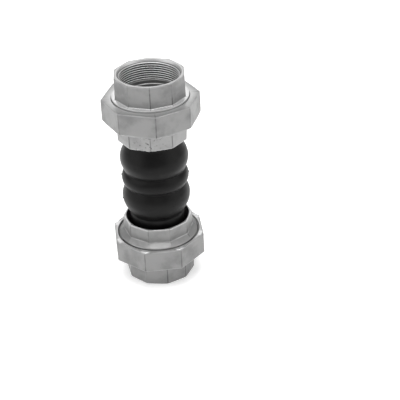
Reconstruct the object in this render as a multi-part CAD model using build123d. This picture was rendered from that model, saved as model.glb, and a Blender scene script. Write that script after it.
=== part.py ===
from build123d import *
import os
from math import cos, pi

# Union-ended twin-sphere rubber expansion joint for 2 inch pipe, in millimetres.
# Origin: centre of the lower end face. +Z runs along the flow axis to the upper end.
# Each end piece is drawn once by its depth from its own end face, and set at both ends.

# --- Whole joint ---
overall_length = 220.0
touch_gap = 0.3  # clearance between metal pieces that slide or turn on each other
past_corner = 1.0  # how far a cutting blank stands clear of the corners it doesn't cut

# --- Pipe thread in each tailpiece: 2 inch, 11 threads to the inch ---
pipe_thread_root_radius = 29.81
pipe_thread_height = 1.48
pipe_thread_length = 22.5
countersink_margin = 0.7
countersink_depth = 2.0
waterway_step = 0.73  # the plain bore behind the thread is this much smaller than the thread's

# --- Tailpiece ---
tail_sides = 10
tail_wall = 3.39  # over the thread's root, at the flats
tail_rim_cut = 0.9  # bevel across the corners at the rim
tail_rim_rise = 0.9
tail_nose_length = 24.0  # from the end face to the nut's lip
tail_shoulder_rim = 2.3  # how far the round shoulder stands out past the nose's corners
tail_shoulder_height = 2.0
tail_cone_height = 2.5
tail_flange_bearing = 2.6  # width of the flange that the nut's lip pulls on
tail_flange_thickness = 5.0

# --- Union nut ---
nut_sides = 8
nut_wall = 3.8  # over the bore, at the flats
nut_height = 22.5
nut_lip_thickness = 5.0
nut_hole_clearance = 0.4
nut_mouth_cut = 2.0  # bevel across the corners at the mouth
nut_mouth_rise = 0.9

# --- Clamp collar ---
collar_sides = 10
collar_wall = 1.6  # at the flats, at the lip
collar_barrel_wall = 4.6  # round the bead, under the union thread
collar_grip_height = 14.2
collar_cone_height = 4.0
collar_lip_cut = 0.8  # bevel across the corners at the lip
collar_lip_rise = 0.8
collar_neck_gap = 2.6  # room between the collar's hole and the rubber neck
collar_flare = 1.8  # how far the hole widens out to the lip
collar_recess_depth = 7.6
collar_recess_cone = 3.9

# --- Union thread ---
union_pitch = 2.5
union_turns = 3.5  # turns from tight to where the collar's lip meets the sphere
upper_turns_backed_off = 0.75  # the upper nut stands this far from tight

# --- Rubber body ---
neck_radius = 27.2
neck_beyond_collar = 1.05  # plain neck left when the collar is fully backed off
arch_rise = 6.4  # how far each sphere swells past the neck
groove_rise = 2.0  # how far the grooves beside the waist stay past the neck
strap_width = 17.0
strap_rise = 4.0  # how far the waist strap swells past the grooves
liner_thickness = 2.0
ply_thickness = 0.8
ply_count = 3
cover_thickness = 2.0
bead_hook = 5.2  # how far the bead stands out past the collar's hole
bead_wire_radius = 2.1
bead_wire_inset = 4.4  # from the bead's rim to the middle of its wire
root_wire_radius = 1.8
root_wire_cover = 0.9  # rubber between the carcass and the hoop round the waist

# --- How the many-sided castings happen to be turned, in degrees ---
turned = {
    "lower_tailpiece": -8.0,
    "lower_union_nut": -19.0,
    "lower_clamp_collar": 0.4,
    "upper_tailpiece": 17.0,
    "upper_union_nut": 4.0,
    "upper_clamp_collar": 13.3,
}

# --- Radii worked out from the sizes above ---
pipe_thread_bore_radius = pipe_thread_root_radius - pipe_thread_height
countersink_radius = pipe_thread_root_radius + countersink_margin
waterway_radius = pipe_thread_bore_radius - waterway_step
tail_across_flats = 2 * (pipe_thread_root_radius + tail_wall)
tail_shoulder_radius = tail_across_flats / 2 / cos(pi / tail_sides) + tail_shoulder_rim
nut_hole_radius = tail_shoulder_radius + nut_hole_clearance
collar_hole_radius = neck_radius + collar_neck_gap
collar_mouth_radius = collar_hole_radius + collar_flare
collar_across_flats = 2 * (collar_mouth_radius + collar_wall)
bead_radius = collar_hole_radius + bead_hook
bead_heel_radius = collar_hole_radius - 2 * touch_gap
bead_ring_radius = bead_radius - bead_wire_inset
collar_recess_radius = bead_radius + touch_gap
nut_bore_radius = max(
    tail_shoulder_radius + tail_flange_bearing + nut_hole_clearance,
    collar_recess_radius + collar_barrel_wall + touch_gap,
)
tail_flange_radius = nut_bore_radius - nut_hole_clearance
collar_thread_radius = nut_bore_radius - touch_gap
nut_across_flats = 2 * (nut_bore_radius + nut_wall)
carcass_neck_radius = neck_radius - cover_thickness
arch_crest_radius = neck_radius + arch_rise
groove_radius = neck_radius + groove_rise
strap_radius = groove_radius + strap_rise
carcass_crest_radius = arch_crest_radius - cover_thickness
carcass_waist_radius = groove_radius - cover_thickness
root_ring_radius = carcass_waist_radius + root_wire_cover + root_wire_radius

# --- Depths from an end face worked out from the sizes above ---
nut_lip_depth = tail_nose_length
nut_mouth_depth = nut_lip_depth + nut_height
nut_step_depth = nut_lip_depth + nut_lip_thickness
flange_back_depth = nut_step_depth + touch_gap
seat_depth = flange_back_depth + tail_flange_thickness
tail_shoulder_depth = tail_nose_length - tail_shoulder_height
tail_cone_depth = tail_shoulder_depth - tail_cone_height
filler_depth = seat_depth + liner_thickness
collar_end_depth = seat_depth + 2 * touch_gap
collar_cone_depth = nut_mouth_depth
collar_grip_depth = collar_cone_depth + collar_cone_height
collar_lip_depth = collar_grip_depth + collar_grip_height
recess_step_depth = collar_end_depth + collar_recess_depth
recess_end_depth = recess_step_depth + collar_recess_cone
bead_step_depth = recess_step_depth - touch_gap
bead_end_depth = recess_end_depth - touch_gap
bead_wire_depth = (filler_depth + bead_step_depth) / 2
middle = overall_length / 2
groove_depth = middle - strap_width / 2
neck_end_depth = collar_lip_depth + union_turns * union_pitch + neck_beyond_collar
arch_crest_depth = (neck_end_depth + groove_depth) / 2


def corner_radius(across_flats, sides):
    """Distance from a many-sided prism's axis to its corners."""
    return across_flats / 2 / cos(pi / sides)


def ring_section(points):
    """Closed (radius, height) outline turned once round the flow axis."""
    return revolve(Plane.XZ * make_face(Polyline(*points, close=True)), Axis.Z)


def tube(outer_radius, inner_radius, low, high):
    """Plain ring between two heights."""
    corners = [(inner_radius, low), (outer_radius, low), (outer_radius, high), (inner_radius, high)]
    return ring_section(corners)


def solid_of_revolution(points):
    """Outline given from the axis outwards and back, turned into a solid."""
    return ring_section([(0.0, points[0][1]), *points, (0.0, points[-1][1])])


def prism(across_flats, sides, low, high, turn):
    """Many-sided prism between two depths."""
    outline = RegularPolygon(across_flats / 2, sides, major_radius=False, rotation=turn)
    return Pos(0, 0, low) * extrude(outline, high - low)


def corner_cutter(corner, cut, rise, edge_depth, far_depth):
    """Round blank that bevels a prism's corners at one end and clears them elsewhere."""
    run_out = rise * (1 + past_corner / cut)
    bevel_end = edge_depth + run_out if far_depth > edge_depth else edge_depth - run_out
    return solid_of_revolution(
        [
            (corner - cut, edge_depth),
            (corner + past_corner, bevel_end),
            (corner + past_corner, far_depth),
        ]
    )


def wire_ring(ring_radius, wire_radius, height):
    """Round steel hoop."""
    return Pos(0, 0, height) * Torus(ring_radius, wire_radius)


def tailpiece(turn):
    """Threaded end with a ten-sided nose, a round shoulder and the flange the nut pulls on."""
    corner = corner_radius(tail_across_flats, tail_sides)
    rim = corner_cutter(corner, tail_rim_cut, tail_rim_rise, 0.0, tail_nose_length)
    nose = prism(tail_across_flats, tail_sides, 0.0, tail_nose_length, turn) & rim
    shoulder = solid_of_revolution(
        [
            (tail_across_flats / 2, tail_cone_depth),
            (tail_shoulder_radius, tail_shoulder_depth),
            (tail_shoulder_radius, flange_back_depth),
            (tail_flange_radius, flange_back_depth),
            (tail_flange_radius, seat_depth),
        ]
    )
    thread_end = countersink_depth + pipe_thread_length
    bore = solid_of_revolution(
        [
            (countersink_radius, 0.0),
            (pipe_thread_bore_radius, countersink_depth),
            (pipe_thread_bore_radius, thread_end),
            (waterway_radius, thread_end),
            (waterway_radius, seat_depth),
        ]
    )
    return nose + shoulder - bore


def union_nut(turn):
    """Eight-sided nut: a lip behind the tailpiece's flange, and a threaded mouth for the collar."""
    corner = corner_radius(nut_across_flats, nut_sides)
    mouth = corner_cutter(corner, nut_mouth_cut, nut_mouth_rise, nut_mouth_depth, nut_lip_depth)
    body = prism(nut_across_flats, nut_sides, nut_lip_depth, nut_mouth_depth, turn) & mouth
    lip_hole = Pos(0, 0, nut_lip_depth) * extrude(Circle(nut_hole_radius), nut_lip_thickness)
    bore = Pos(0, 0, nut_step_depth) * extrude(Circle(nut_bore_radius), nut_height - nut_lip_thickness)
    return body - lip_hole - bore


def clamp_collar(turn, backed_off):
    """Collar round the rubber neck: threaded outside, recessed for the bead, ten-sided at its lip."""
    corner = corner_radius(collar_across_flats, collar_sides)
    lip = corner_cutter(corner, collar_lip_cut, collar_lip_rise, collar_lip_depth, collar_cone_depth)
    grip = prism(collar_across_flats, collar_sides, collar_cone_depth, collar_lip_depth, turn) & lip
    barrel = solid_of_revolution(
        [
            (collar_thread_radius, collar_end_depth),
            (collar_thread_radius, collar_cone_depth),
            (corner, collar_grip_depth),
        ]
    )
    hollow = solid_of_revolution(
        [
            (collar_recess_radius, collar_end_depth),
            (collar_recess_radius, recess_step_depth),
            (collar_hole_radius, recess_end_depth),
            (collar_hole_radius, collar_grip_depth),
            (collar_mouth_radius, collar_lip_depth),
        ]
    )
    return Pos(0, 0, backed_off) * (grip + barrel - hollow)


def bead_filler():
    """Rubber filler of the bead, moulded round its wire hoop."""
    outline = [
        (carcass_neck_radius, filler_depth),
        (bead_radius, filler_depth),
        (bead_radius, bead_step_depth),
        (bead_heel_radius, bead_end_depth),
        (carcass_neck_radius, bead_end_depth),
    ]
    return ring_section(outline) - bead_ring()


def bead_ring():
    """Steel wire hoop in the bead."""
    return wire_ring(bead_ring_radius, bead_wire_radius, bead_wire_depth)


def body_line(inset, low, high):
    """Edges of the carcass surface, moved in by an inset, from one height up to another."""
    neck = carcass_neck_radius - inset
    crest = carcass_crest_radius - inset
    waist = carcass_waist_radius - inset
    return [
        Line((neck, low), (neck, neck_end_depth)),
        ThreePointArc((neck, neck_end_depth), (crest, arch_crest_depth), (waist, groove_depth)),
        Line((waist, groove_depth), (waist, overall_length - groove_depth)),
        ThreePointArc(
            (waist, overall_length - groove_depth),
            (crest, overall_length - arch_crest_depth),
            (neck, overall_length - neck_end_depth),
        ),
        Line((neck, overall_length - neck_end_depth), (neck, high)),
    ]


def body_layer(outer_inset, thickness, end_depth):
    """One layer of the carcass, from bead to bead."""
    inner_inset = outer_inset + thickness
    high = overall_length - end_depth
    outer_edge = carcass_neck_radius - outer_inset
    inner_edge = carcass_neck_radius - inner_inset
    ends = [
        Line((outer_edge, end_depth), (inner_edge, end_depth)),
        Line((outer_edge, high), (inner_edge, high)),
    ]
    edges = body_line(outer_inset, end_depth, high) + body_line(inner_inset, end_depth, high) + ends
    return revolve(Plane.XZ * make_face(edges), Axis.Z)


def inner_liner():
    """Liner of the waterway, turned out over both beads as the seal."""
    inset = ply_count * ply_thickness
    bore_radius = carcass_neck_radius - inset - liner_thickness
    liner = body_layer(inset, liner_thickness, seat_depth)
    for low in (seat_depth, overall_length - filler_depth):
        liner += tube(bead_radius, bore_radius, low, low + liner_thickness)
    return liner


def arch_cover():
    """Cover of one sphere, from the neck to the groove beside the waist."""
    waist = carcass_waist_radius
    edges = [
        ThreePointArc(
            (neck_radius, neck_end_depth),
            (arch_crest_radius, arch_crest_depth),
            (groove_radius, groove_depth),
        ),
        Line((groove_radius, groove_depth), (waist, groove_depth)),
        ThreePointArc(
            (carcass_neck_radius, neck_end_depth),
            (carcass_crest_radius, arch_crest_depth),
            (waist, groove_depth),
        ),
        Line((carcass_neck_radius, neck_end_depth), (neck_radius, neck_end_depth)),
    ]
    return revolve(Plane.XZ * make_face(edges), Axis.Z)


def root_ring():
    """Steel hoop that holds the waist in."""
    return wire_ring(root_ring_radius, root_wire_radius, middle)


def waist_strap():
    """Rubber band moulded over the hoop between the spheres."""
    upper_groove = overall_length - groove_depth
    edges = [
        ThreePointArc((groove_radius, groove_depth), (strap_radius, middle), (groove_radius, upper_groove)),
        Line((groove_radius, upper_groove), (carcass_waist_radius, upper_groove)),
        Line((carcass_waist_radius, upper_groove), (carcass_waist_radius, groove_depth)),
        Line((carcass_waist_radius, groove_depth), (groove_radius, groove_depth)),
    ]
    return revolve(Plane.XZ * make_face(edges), Axis.Z) - root_ring()


def at_upper_end(piece):
    """Turn a piece of the lower end over onto the upper end."""
    return Pos(0, 0, overall_length) * Rot(180, 0, 0) * piece


nodes = {
    "lower_tailpiece": tailpiece(turned["lower_tailpiece"]),
    "lower_union_nut": union_nut(turned["lower_union_nut"]),
    "lower_clamp_collar": clamp_collar(turned["lower_clamp_collar"], 0.0),
    "lower_bead_ring": bead_ring(),
    "lower_bead_filler": bead_filler(),
    "lower_cuff": tube(neck_radius, carcass_neck_radius, bead_end_depth, neck_end_depth),
    "lower_arch_cover": arch_cover(),
    "waist_strap": waist_strap(),
    "root_ring": root_ring(),
    "inner_liner": inner_liner(),
}
for ply in range(ply_count):
    nodes[f"cord_ply_{ply + 1}"] = body_layer(ply * ply_thickness, ply_thickness, filler_depth)
for name in ("bead_ring", "bead_filler", "cuff", "arch_cover"):
    nodes["upper_" + name] = at_upper_end(nodes["lower_" + name])
nodes["upper_tailpiece"] = at_upper_end(tailpiece(-turned["upper_tailpiece"]))
nodes["upper_union_nut"] = at_upper_end(union_nut(-turned["upper_union_nut"]))
nodes["upper_clamp_collar"] = at_upper_end(
    clamp_collar(-turned["upper_clamp_collar"], upper_turns_backed_off * union_pitch)
)

os.makedirs("parts", exist_ok=True)
for name, piece in nodes.items():
    export_step(piece, f"parts/{name}.step")
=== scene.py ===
"""Looks of a union-ended twin-sphere rubber expansion joint.

Two threaded tailpieces, their union nuts and clamp collars hold a black rubber body with two
spheres and a strapped waist. Sizes here are in millimetres and are turned into metres when a
mesh is made. A depth is measured inwards from the end face of the end that a piece belongs to.
"""

from __future__ import annotations

import logging
import math
from dataclasses import dataclass
from enum import Enum

import bmesh
import bpy
from mathutils import Matrix, Vector, noise

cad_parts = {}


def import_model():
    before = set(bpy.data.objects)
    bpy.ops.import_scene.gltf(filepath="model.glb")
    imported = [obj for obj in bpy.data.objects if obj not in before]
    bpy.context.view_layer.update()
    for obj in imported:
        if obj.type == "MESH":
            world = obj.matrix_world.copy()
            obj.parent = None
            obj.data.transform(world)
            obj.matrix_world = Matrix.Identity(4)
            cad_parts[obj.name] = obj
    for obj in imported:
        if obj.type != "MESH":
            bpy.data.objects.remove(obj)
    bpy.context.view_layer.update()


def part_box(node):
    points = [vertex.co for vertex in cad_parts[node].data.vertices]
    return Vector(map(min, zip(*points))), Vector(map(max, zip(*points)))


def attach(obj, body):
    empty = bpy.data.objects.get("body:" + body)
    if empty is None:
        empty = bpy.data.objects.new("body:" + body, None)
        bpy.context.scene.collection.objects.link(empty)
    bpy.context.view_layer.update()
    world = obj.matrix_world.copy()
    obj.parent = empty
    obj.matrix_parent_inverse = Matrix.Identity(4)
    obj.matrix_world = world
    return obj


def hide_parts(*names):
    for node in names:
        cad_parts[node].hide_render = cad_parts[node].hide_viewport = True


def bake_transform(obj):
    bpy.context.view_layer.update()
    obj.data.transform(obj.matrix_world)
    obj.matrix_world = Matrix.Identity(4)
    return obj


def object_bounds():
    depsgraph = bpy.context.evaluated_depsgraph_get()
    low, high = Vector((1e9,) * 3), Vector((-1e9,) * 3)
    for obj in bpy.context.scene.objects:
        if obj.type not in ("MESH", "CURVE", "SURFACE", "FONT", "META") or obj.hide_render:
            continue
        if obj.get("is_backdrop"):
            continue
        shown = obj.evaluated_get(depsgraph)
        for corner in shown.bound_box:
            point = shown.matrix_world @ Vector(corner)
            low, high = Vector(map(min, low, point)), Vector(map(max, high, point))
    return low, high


LOG = logging.getLogger("expansion_joint")
MM = 0.001
MESH_COLUMNS = 240
THREAD_SINK = 0.05
LAYER_GAP = 0.02
FLOOR_REACH = 40.0


# ---------------------------------------------------------------------------------------------
# Small tools
# ---------------------------------------------------------------------------------------------


def soft_max(first: float, second: float, blend: float) -> float:
    """Larger of two values, with a rounded change from one to the other.

    Args:
        first: One value.
        second: The other value.
        blend: Difference below which the two run together.

    Returns:
        The larger value, raised a little where the two are close.
    """
    overlap = max(blend - abs(first - second), 0.0)
    return max(first, second) + overlap * overlap / (4 * blend)


def soft_min(first: float, second: float, blend: float) -> float:
    """Smaller of two values, with a rounded change from one to the other."""
    return -soft_max(-first, -second, blend)


def sided_radius(sides: int, flat: float, offset: float, rounding: float) -> float:
    """Distance from the axis to the outline of a regular polygon with rounded corners.

    Args:
        sides: Number of sides.
        flat: Distance from the axis to each side.
        offset: Angle from the middle of the side.
        rounding: Radius of the rounded corners.

    Returns:
        The distance from the axis at that angle.
    """
    half_side = math.pi / sides
    straight = math.atan((flat - rounding) * math.tan(half_side) / flat)
    if abs(offset) <= straight:
        return flat / math.cos(offset)
    to_corner = half_side - abs(offset)
    centre = (flat - rounding) / math.cos(half_side)
    across = centre * math.sin(to_corner)
    return centre * math.cos(to_corner) + math.sqrt(max(rounding**2 - across**2, 0.0))


def corner_radius(flat: float, sides: int) -> float:
    """Distance from the axis to the sharp corner of a regular polygon."""
    return flat / math.cos(math.pi / sides)


def on_axis(radius: float, angle: float, height: float) -> tuple[float, float, float]:
    """Point at a radius, angle and height round the joint's axis, in metres."""
    return radius * math.cos(angle) * MM, radius * math.sin(angle) * MM, height * MM


def new_object(name: str, mesh: bpy.types.Mesh) -> bpy.types.Object:
    """Put a mesh into the scene as an object at the origin."""
    piece = bpy.data.objects.new(name, mesh)
    bpy.context.scene.collection.objects.link(piece)
    return piece


def set_attribute(mesh: bpy.types.Mesh, name: str, values: list[float]) -> None:
    """Store one number for each point of a mesh."""
    attribute = mesh.attributes.new(name, "FLOAT", "POINT")
    attribute.data.foreach_set("value", values)


def outward_normals(mesh: bpy.types.Mesh) -> None:
    """Make the faces of a closed mesh point outwards."""
    shell = bmesh.new()
    shell.from_mesh(mesh)
    bmesh.ops.recalc_face_normals(shell, faces=shell.faces)
    shell.to_mesh(mesh)
    shell.free()


def ring_faces(rings: int, columns: int) -> list[tuple[int, int, int, int]]:
    """Faces of a grid that closes both round the axis and along the section."""
    faces = []
    for ring in range(rings):
        after = (ring + 1) % rings
        for column in range(columns):
            beside = (column + 1) % columns
            near, far = ring * columns, after * columns
            faces.append((near + column, near + beside, far + beside, far + column))
    return faces


class End(Enum):
    """The two ends of the joint."""

    LOWER = "lower"
    UPPER = "upper"

    def height(self, depth: float, length: float) -> float:
        """Height of a point that lies at a depth from this end's face."""
        return depth if self is End.LOWER else length - depth

    def name(self, piece: str) -> str:
        """Full name of one of this end's pieces."""
        return f"{self.value}_{piece}"

    @property
    def turn_sign(self) -> int:
        """Sense in which this end's pieces are turned when they are set on it."""
        return 1 if self is End.LOWER else -1


# ---------------------------------------------------------------------------------------------
# Shader node groups and finishes
# ---------------------------------------------------------------------------------------------


class Nodes:
    """Short way to add and join nodes in one tree."""

    def __init__(self, tree: bpy.types.NodeTree) -> None:
        """Start on a tree."""
        self.tree = tree

    def add(self, kind: str, **settings: object) -> bpy.types.Node:
        """Add a node; a setting is a property, or the value or source of the input of that name."""
        node = self.tree.nodes.new(kind)
        for key, value in settings.items():
            if hasattr(node, key):
                setattr(node, key, value)
            else:
                self.feed(value, node.inputs[key.replace("_", " ")])
        return node

    def join(self, source: bpy.types.NodeSocket, target: bpy.types.NodeSocket) -> None:
        """Join an output to an input."""
        self.tree.links.new(source, target)

    def feed(self, value: object, target: bpy.types.NodeSocket) -> None:
        """Give an input a socket to follow, or a value to keep."""
        if isinstance(value, bpy.types.NodeSocket):
            self.join(value, target)
        else:
            target.default_value = value

    def stored(self, name: str) -> bpy.types.NodeSocket:
        """Number stored on the piece's points under a name."""
        return self.add("ShaderNodeAttribute", attribute_name=name).outputs["Fac"]

    def set_bump(self, shader: bpy.types.Node, height: object, strength: float, distance: float) -> None:
        """Let a height dent the shader's surface."""
        bump = self.add("ShaderNodeBump", Strength=strength, Distance=distance, Height=height)
        self.join(bump.outputs["Normal"], shader.inputs["Normal"])

    def math(self, operation: str, first: object, second: object = 0.0) -> bpy.types.NodeSocket:
        """Add a sum; each side is a socket or a number."""
        node = self.tree.nodes.new("ShaderNodeMath")
        node.operation = operation
        for socket, value in zip(node.inputs, (first, second)):
            self.feed(value, socket)
        return node.outputs[0]

    def colour_mix(self, factor: object, first: object, second: object) -> bpy.types.NodeSocket:
        """Mix two colours; each is a socket or a colour."""
        node = self.tree.nodes.new("ShaderNodeMix")
        node.data_type = "RGBA"
        for index, value in ((0, factor), (6, first), (7, second)):
            self.feed(value, node.inputs[index])
        return node.outputs[2]


def new_group(name: str, inputs: dict[str, float], outputs: list[str]) -> tuple[Nodes, object, object]:
    """Start a shader node group.

    Args:
        name: The group's name.
        inputs: Names and defaults of its number inputs.
        outputs: Names of its number outputs.

    Returns:
        Its nodes, its input node and its output node.
    """
    tree = bpy.data.node_groups.new(name, "ShaderNodeTree")
    for key, value in inputs.items():
        socket = tree.interface.new_socket(key, in_out="INPUT", socket_type="NodeSocketFloat")
        socket.default_value = value
    for key in outputs:
        tree.interface.new_socket(key, in_out="OUTPUT", socket_type="NodeSocketFloat")
    nodes = Nodes(tree)
    return nodes, nodes.add("NodeGroupInput"), nodes.add("NodeGroupOutput")


def patches_group() -> bpy.types.NodeTree:
    """Soft uneven patches, from 0 to 1, on the piece's own coordinates."""
    nodes, source, result = new_group("patches", {"Scale": 40.0, "Low": 0.4, "High": 0.7}, ["Mask"])
    place = nodes.add("ShaderNodeTexCoord").outputs["Object"]
    scale = source.outputs["Scale"]
    cloud = nodes.add("ShaderNodeTexNoise", Detail=4.0, Roughness=0.6, Vector=place, Scale=scale)
    ramp = nodes.add("ShaderNodeMapRange", interpolation_type="SMOOTHSTEP", Value=cloud.outputs["Fac"])
    nodes.join(source.outputs["Low"], ramp.inputs["From Min"])
    nodes.join(source.outputs["High"], ramp.inputs["From Max"])
    nodes.join(ramp.outputs["Result"], result.inputs["Mask"])
    return nodes.tree


def grain_group() -> bpy.types.NodeTree:
    """Fine surface grain with scattered pits, as a height."""
    nodes, source, result = new_group(
        "grain", {"Scale": 900.0, "Pit Scale": 260.0, "Pit Share": 0.2}, ["Height"]
    )
    place = nodes.add("ShaderNodeTexCoord").outputs["Object"]
    scale = source.outputs["Scale"]
    fine = nodes.add("ShaderNodeTexNoise", Detail=6.0, Roughness=0.65, Vector=place, Scale=scale)
    pits = nodes.add("ShaderNodeTexVoronoi", feature="SMOOTH_F1", Smoothness=0.3, Vector=place)
    nodes.join(source.outputs["Pit Scale"], pits.inputs["Scale"])
    ramp = nodes.add("ShaderNodeMapRange", To_Min=-1.0, To_Max=0.0, Value=pits.outputs["Distance"])
    nodes.join(source.outputs["Pit Share"], ramp.inputs["From Max"])
    nodes.join(nodes.math("ADD", fine.outputs["Fac"], ramp.outputs["Result"]), result.inputs["Height"])
    return nodes.tree


def edge_light_group() -> bpy.types.NodeTree:
    """How bright the painted highlight on a casting's rims and how dark the painted shade along its creases
    are, broken up by noise.
    """
    nodes, source, result = new_group("edge_light", {"Break Up": 60.0}, ["Rim", "Crease"])
    place = nodes.add("ShaderNodeTexCoord").outputs["Object"]
    scale = source.outputs["Break Up"]
    cloud = nodes.add("ShaderNodeTexNoise", Detail=3.0, Vector=place, Scale=scale)
    ramp = nodes.add("ShaderNodeMapRange", From_Min=0.36, From_Max=0.58, Value=cloud.outputs["Fac"])
    for name in ("Rim", "Crease"):
        broken = nodes.math("MULTIPLY", nodes.stored(name.lower()), ramp.outputs["Result"])
        nodes.join(broken, result.inputs[name])
    return nodes.tree


class Groups:
    """The shared node groups, built once."""

    def __init__(self) -> None:
        """Build them."""
        self.patches = patches_group()
        self.grain = grain_group()
        self.edge_light = edge_light_group()

    def place(self, nodes: Nodes, group: bpy.types.NodeTree, **values: float) -> bpy.types.Node:
        """Put a group in a material with its own values."""
        node = nodes.add("ShaderNodeGroup", node_tree=group)
        for key, value in values.items():
            node.inputs[key.replace("_", " ")].default_value = value
        return node


def start_material(name: str) -> tuple[bpy.types.Material, Nodes, bpy.types.Node]:
    """Start a material and return it with its nodes and its main shader."""
    material = bpy.data.materials.new(name)
    material.use_nodes = True
    nodes = Nodes(material.node_tree)
    return material, nodes, material.node_tree.nodes["Principled BSDF"]


@dataclass(frozen=True)
class CastFinish:
    """Zinc-coated malleable iron: a satin cast skin, a painted highlight on the rims and painted shade along
    the creases.
    """

    name: str = "zinc_coated_iron"
    skin: tuple[float, float, float, float] = (0.245, 0.245, 0.243, 1.0)
    dull: tuple[float, float, float, float] = (0.19, 0.19, 0.19, 1.0)
    # bright: colour of machined faces and of painted highlights; dark: colour of painted shade and of the
    # real sand flecks.
    bright: tuple[float, float, float, float] = (0.75, 0.75, 0.75, 1.0)
    dark: tuple[float, float, float, float] = (0.03, 0.03, 0.03, 1.0)
    metallic: float = 0.66
    roughness: float = 0.42
    grain_depth: float = 0.00012

    def material(self, groups: Groups) -> bpy.types.Material:
        """Build the material."""
        material, nodes, shader = start_material(self.name)
        patches = groups.place(nodes, groups.patches, Scale=55.0, Low=0.42, High=0.72)
        edge_light = groups.place(nodes, groups.edge_light)
        machined = nodes.stored("machined")
        skin = nodes.colour_mix(patches.outputs["Mask"], self.skin, self.dull)
        # Painted highlight: rims and thread crests, with the real machined faces, are mixed towards bright.
        shine = nodes.math("MAXIMUM", nodes.math("MULTIPLY", edge_light.outputs["Rim"], 0.3), machined)
        lit = nodes.colour_mix(shine, skin, self.bright)
        # Painted shade at the thread roots.
        root = nodes.stored("root")
        fleck = self._flecks(nodes, groups)
        # Painted shade along the creases and thread roots is mixed towards dark, together with the real sand
        # flecks.
        crease = nodes.math("MAXIMUM", nodes.math("MULTIPLY", edge_light.outputs["Crease"], 0.95), root)
        shade_and_flecks = nodes.math("MULTIPLY", nodes.math("MAXIMUM", crease, fleck), 0.92)
        nodes.join(nodes.colour_mix(shade_and_flecks, lit, self.dark), shader.inputs["Base Color"])
        rough = nodes.math("MULTIPLY_ADD", patches.outputs["Mask"], 0.10)
        rough.node.inputs[2].default_value = self.roughness
        polished = nodes.math("SUBTRACT", rough, nodes.math("MULTIPLY", shine, 0.16))
        nodes.join(polished, shader.inputs["Roughness"])
        shader.inputs["Metallic"].default_value = self.metallic
        grain = groups.place(nodes, groups.grain, Scale=1100.0, Pit_Scale=420.0, Pit_Share=0.16)
        cast = nodes.math("SUBTRACT", 1.0, nodes.math("MULTIPLY", machined, 0.85))
        height = nodes.math("MULTIPLY", grain.outputs["Height"], cast)
        dented = nodes.math("SUBTRACT", height, nodes.math("MULTIPLY", fleck, 2.5))
        nodes.set_bump(shader, dented, 0.35, self.grain_depth)
        return material

    def _flecks(self, nodes: Nodes, groups: Groups) -> bpy.types.NodeSocket:
        """Small dark sand marks where the casting is pitted."""
        pits = nodes.stored("pits")
        marks = groups.place(nodes, groups.patches, Scale=330.0, Low=0.56, High=0.66)
        return nodes.math("MULTIPLY", marks.outputs["Mask"], pits)


@dataclass(frozen=True)
class RubberFinish:
    """Black moulded rubber with a satin sheen, faint bloom and fine mould marks."""

    name: str = "cover_rubber"
    black: tuple[float, float, float, float] = (0.0025, 0.0024, 0.0025, 1.0)
    bloom: tuple[float, float, float, float] = (0.007, 0.007, 0.0066, 1.0)
    roughness: float = 0.33
    gloss: float = 0.155
    mark_depth: float = 0.00010

    def material(self, groups: Groups) -> bpy.types.Material:
        """Build the material."""
        material, nodes, shader = start_material(self.name)
        patches = groups.place(nodes, groups.patches, Scale=38.0, Low=0.38, High=0.75)
        nodes.join(
            nodes.colour_mix(patches.outputs["Mask"], self.black, self.bloom), shader.inputs["Base Color"]
        )
        rough = nodes.math("MULTIPLY_ADD", patches.outputs["Mask"], 0.16)
        rough.node.inputs[2].default_value = self.roughness
        nodes.join(rough, shader.inputs["Roughness"])
        shader.inputs["Specular IOR Level"].default_value = self.gloss
        grain = groups.place(nodes, groups.grain, Scale=520.0, Pit_Scale=150.0, Pit_Share=0.10)
        nodes.set_bump(shader, grain.outputs["Height"], 0.22, self.mark_depth)
        return material


@dataclass(frozen=True)
class CordFinish:
    """Dipped nylon cords, laid side by side at a slant."""

    name: str = "nylon_cord"
    cord: tuple[float, float, float, float] = (0.42, 0.36, 0.25, 1.0)
    gap: tuple[float, float, float, float] = (0.05, 0.045, 0.04, 1.0)
    cords_round: float = 150.0
    slant: float = 40.0
    cord_depth: float = 0.0003

    def material(self, groups: Groups) -> bpy.types.Material:
        """Build the material on the layer's own UV map."""
        material, nodes, shader = start_material(self.name)
        place = nodes.add("ShaderNodeUVMap", uv_map="layer")
        split = nodes.add("ShaderNodeSeparateXYZ")
        nodes.join(place.outputs["UV"], split.inputs["Vector"])
        along = nodes.math("MULTIPLY", split.outputs["Y"], self.slant)
        phase = nodes.math("ADD", nodes.math("MULTIPLY", split.outputs["X"], self.cords_round), along)
        wave = nodes.math("SINE", nodes.math("MULTIPLY", phase, 2 * math.pi))
        height = nodes.math("MULTIPLY", nodes.math("ADD", wave, 1.0), 0.5)
        patches = groups.place(nodes, groups.patches, Scale=90.0)
        worn = nodes.colour_mix(patches.outputs["Mask"], self.cord, self.gap)
        nodes.join(nodes.colour_mix(height, self.gap, worn), shader.inputs["Base Color"])
        shader.inputs["Roughness"].default_value = 0.75
        nodes.set_bump(shader, height, 0.8, self.cord_depth)
        return material


@dataclass(frozen=True)
class WireFinish:
    """Drawn steel wire with faint streaks."""

    name: str = "hoop_steel"
    steel: tuple[float, float, float, float] = (0.45, 0.45, 0.46, 1.0)
    # Colour of the wire's rubbed patches.
    rubbed_and_painted_light: tuple[float, float, float, float] = (0.25, 0.23, 0.2, 1.0)

    def material(self, groups: Groups) -> bpy.types.Material:
        """Build the material."""
        material, nodes, shader = start_material(self.name)
        patches = groups.place(nodes, groups.patches, Scale=160.0)
        nodes.join(
            nodes.colour_mix(patches.outputs["Mask"], self.steel, self.rubbed_and_painted_light), shader.inputs["Base Color"]
        )
        shader.inputs["Metallic"].default_value = 0.95
        shader.inputs["Roughness"].default_value = 0.35
        return material


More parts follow.
